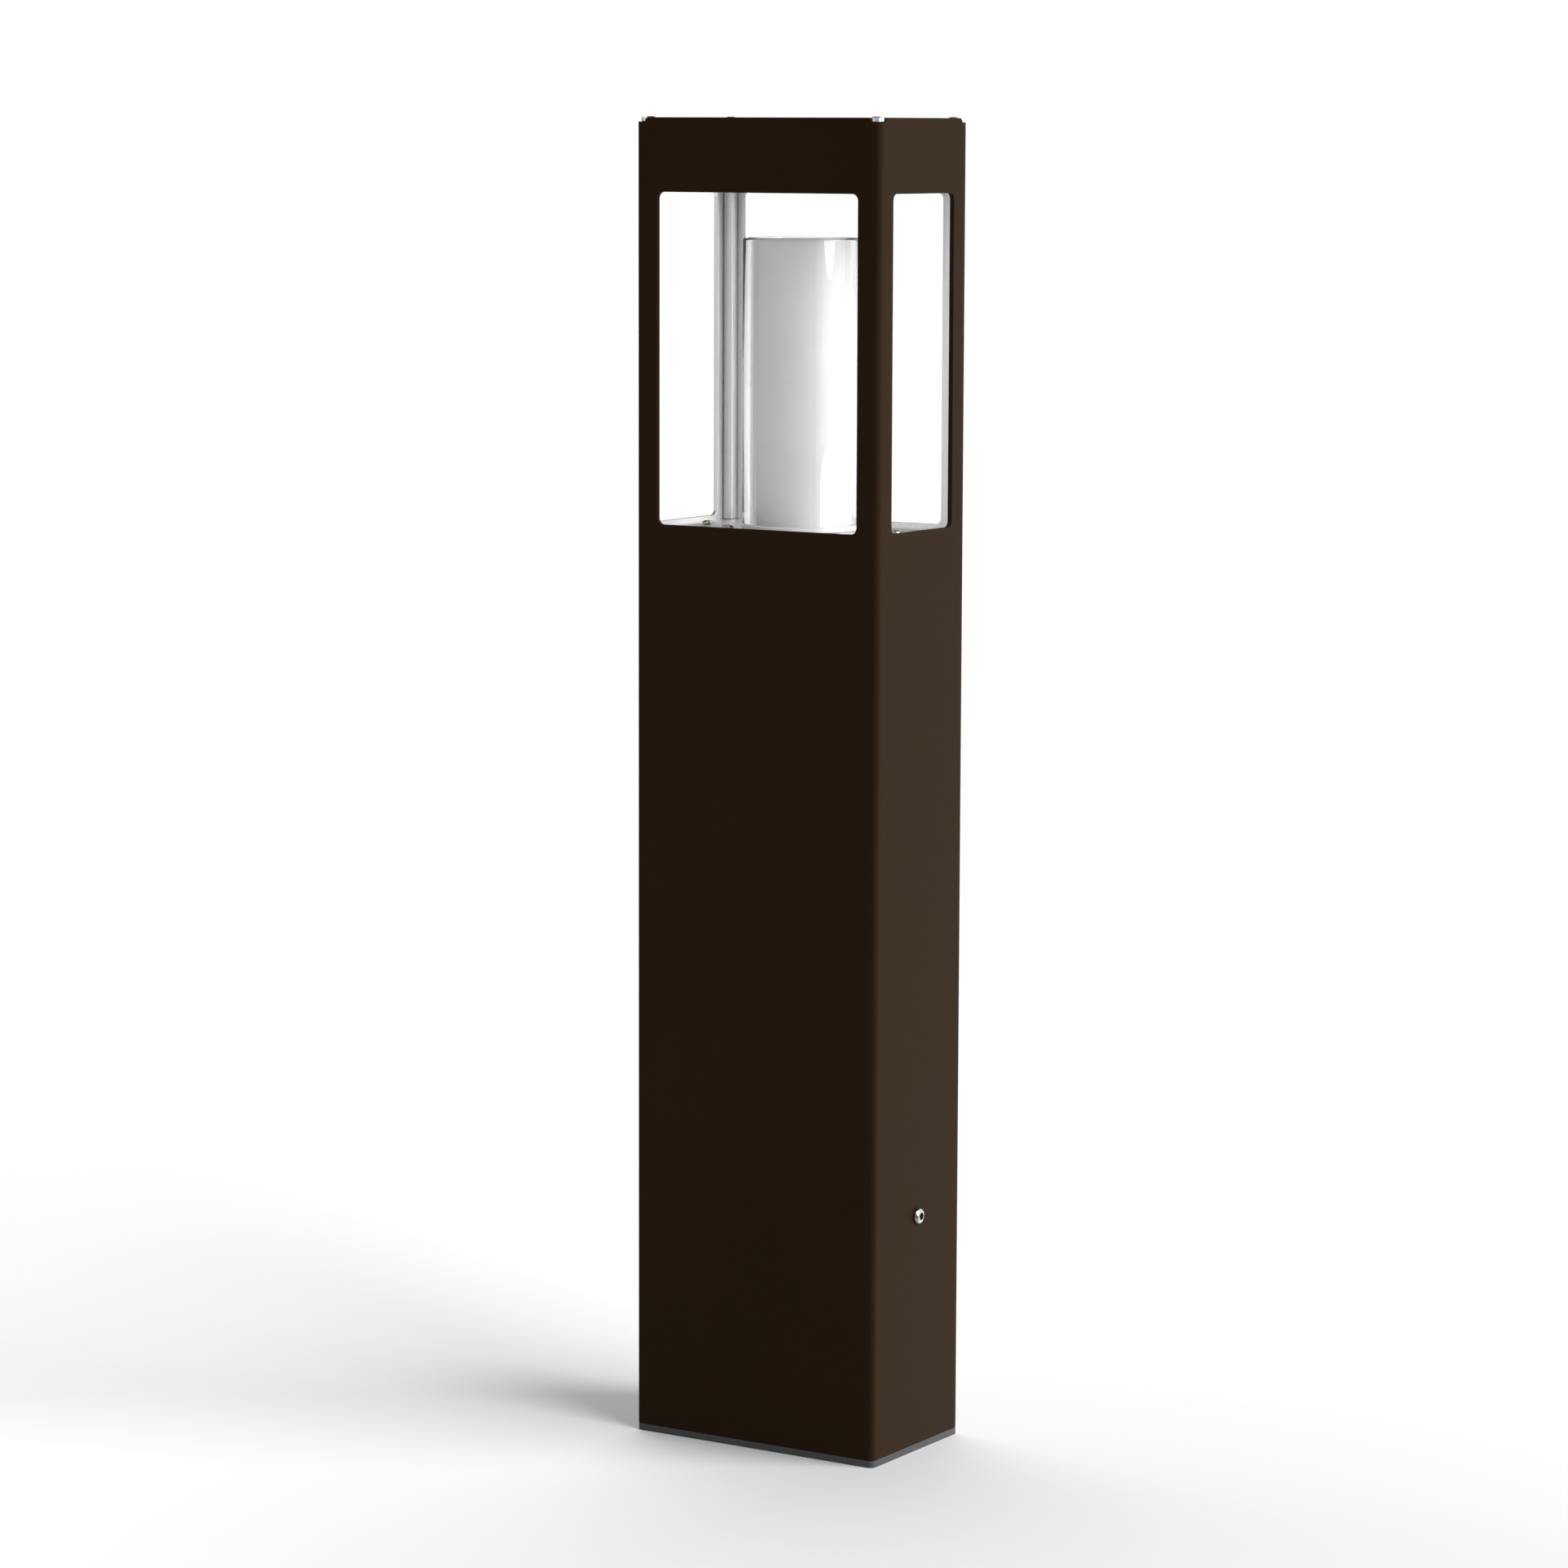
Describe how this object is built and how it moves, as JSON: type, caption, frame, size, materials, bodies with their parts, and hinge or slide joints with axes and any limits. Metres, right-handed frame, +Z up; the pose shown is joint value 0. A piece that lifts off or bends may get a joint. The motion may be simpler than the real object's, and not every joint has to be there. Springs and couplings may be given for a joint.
{
  "type": "bollard light",
  "caption": "Rectangular garden bollard light: an open-windowed metal column with a screwed lid, an opal glass cylinder over a screw-base lamp, and a lift-off anchor.",
  "frame": {"origin": "middle of the footprint, on the ground", "axes": "+Z up along the column, +X along the wide face towards the narrow face with the side screw in view, -Y out of the front wide face"},
  "size_m": [0.1762, 0.1, 0.8006],
  "materials": {
    "brown_powder_coat": "fine-textured matt powder coat",
    "bare_aluminium": "satin, as rolled",
    "stainless_steel": "bright",
    "galvanised_steel": "dull zinc with faint spangle",
    "dark_rubber": "matt",
    "pale_silicone": "satin",
    "clear_glass": "clear, polished",
    "opal_glass": "milky white, satin",
    "glazed_ceramic": "glazed white ceramic",
    "nickelled_brass": "nickel plated",
    "white_plastic": "satin",
    "black_plastic": "satin",
    "grey_plastic": "fine spark texture",
    "cable_jacket": "matt",
    "earth_sleeve": "green and yellow"
  },
  "bodies": {
    "ground_base": {"base_gasket": "dark_rubber", "anchor_plate": "galvanised_steel", "anchor_arm_left": "galvanised_steel", "anchor_arm_right": "galvanised_steel", "arm_bolt_1": "stainless_steel", "arm_bolt_2": "stainless_steel", "arm_bolt_3": "stainless_steel", "arm_bolt_4": "stainless_steel"},
    "column": {"column_shell": "brown_powder_coat", "corner_post_fl": "bare_aluminium", "corner_post_fr": "bare_aluminium", "corner_post_bl": "bare_aluminium", "corner_post_br": "bare_aluminium", "shelf_plate": "bare_aluminium", "shelf_bracket_left": "bare_aluminium", "shelf_bracket_right": "bare_aluminium", "shelf_screw_left": "stainless_steel", "shelf_screw_right": "stainless_steel", "side_screw_left": "stainless_steel", "side_screw_right": "stainless_steel", "clamp_nut_left": "stainless_steel", "clamp_nut_right": "stainless_steel", "glass_gasket": "pale_silicone", "glass_seat": "bare_aluminium", "grommet": "dark_rubber", "lampholder_bracket": "galvanised_steel", "lampholder_body": "glazed_ceramic", "lampholder_shell": "nickelled_brass", "lampholder_contact": "nickelled_brass", "lampholder_screw_left": "stainless_steel", "lampholder_screw_right": "stainless_steel", "box_bracket": "galvanised_steel", "terminal_box": "grey_plastic", "box_seal": "dark_rubber", "box_lid": "grey_plastic", "terminal_block": "white_plastic", "box_lid_screw_1": "stainless_steel", "box_lid_screw_2": "stainless_steel", "box_lid_screw_3": "stainless_steel", "box_lid_screw_4": "stainless_steel", "gland_in": "black_plastic", "gland_out": "black_plastic", "lamp_lead": "cable_jacket", "earth_stud": "stainless_steel", "earth_lug": "nickelled_brass", "earth_nut": "nickelled_brass", "earth_lead": "earth_sleeve"},
    "lid": {"lid_plate": "bare_aluminium", "lid_screw_1": "stainless_steel", "lid_screw_2": "stainless_steel", "lid_screw_3": "stainless_steel", "lid_screw_4": "stainless_steel"},
    "diffuser": {"diffuser_glass": "clear_glass", "diffuser_opal": "opal_glass"},
    "lamp": {"lamp_tip": "black_plastic", "lamp_cap": "nickelled_brass", "lamp_body": "white_plastic", "lamp_globe": "opal_glass"}
  },
  "joints": [
    {"name": "column_lift", "type": "slide", "parent": "ground_base", "child": "column", "axis": [0, 0, 1], "range_m": [0, 0.18]},
    {"name": "lid_lift", "type": "slide", "parent": "column", "child": "lid", "axis": [0, 0, 1], "range_m": [0, 0.12]},
    {"name": "diffuser_lift", "type": "slide", "parent": "column", "child": "diffuser", "axis": [0, 0, 1], "range_m": [0, 0.055]},
    {"name": "lamp_turn", "type": "hinge", "parent": "column", "child": "lamp", "pos_m": [0, 0, 0.57], "axis": [0, 0, 1], "range_deg": [0, 1800]}
  ]
}
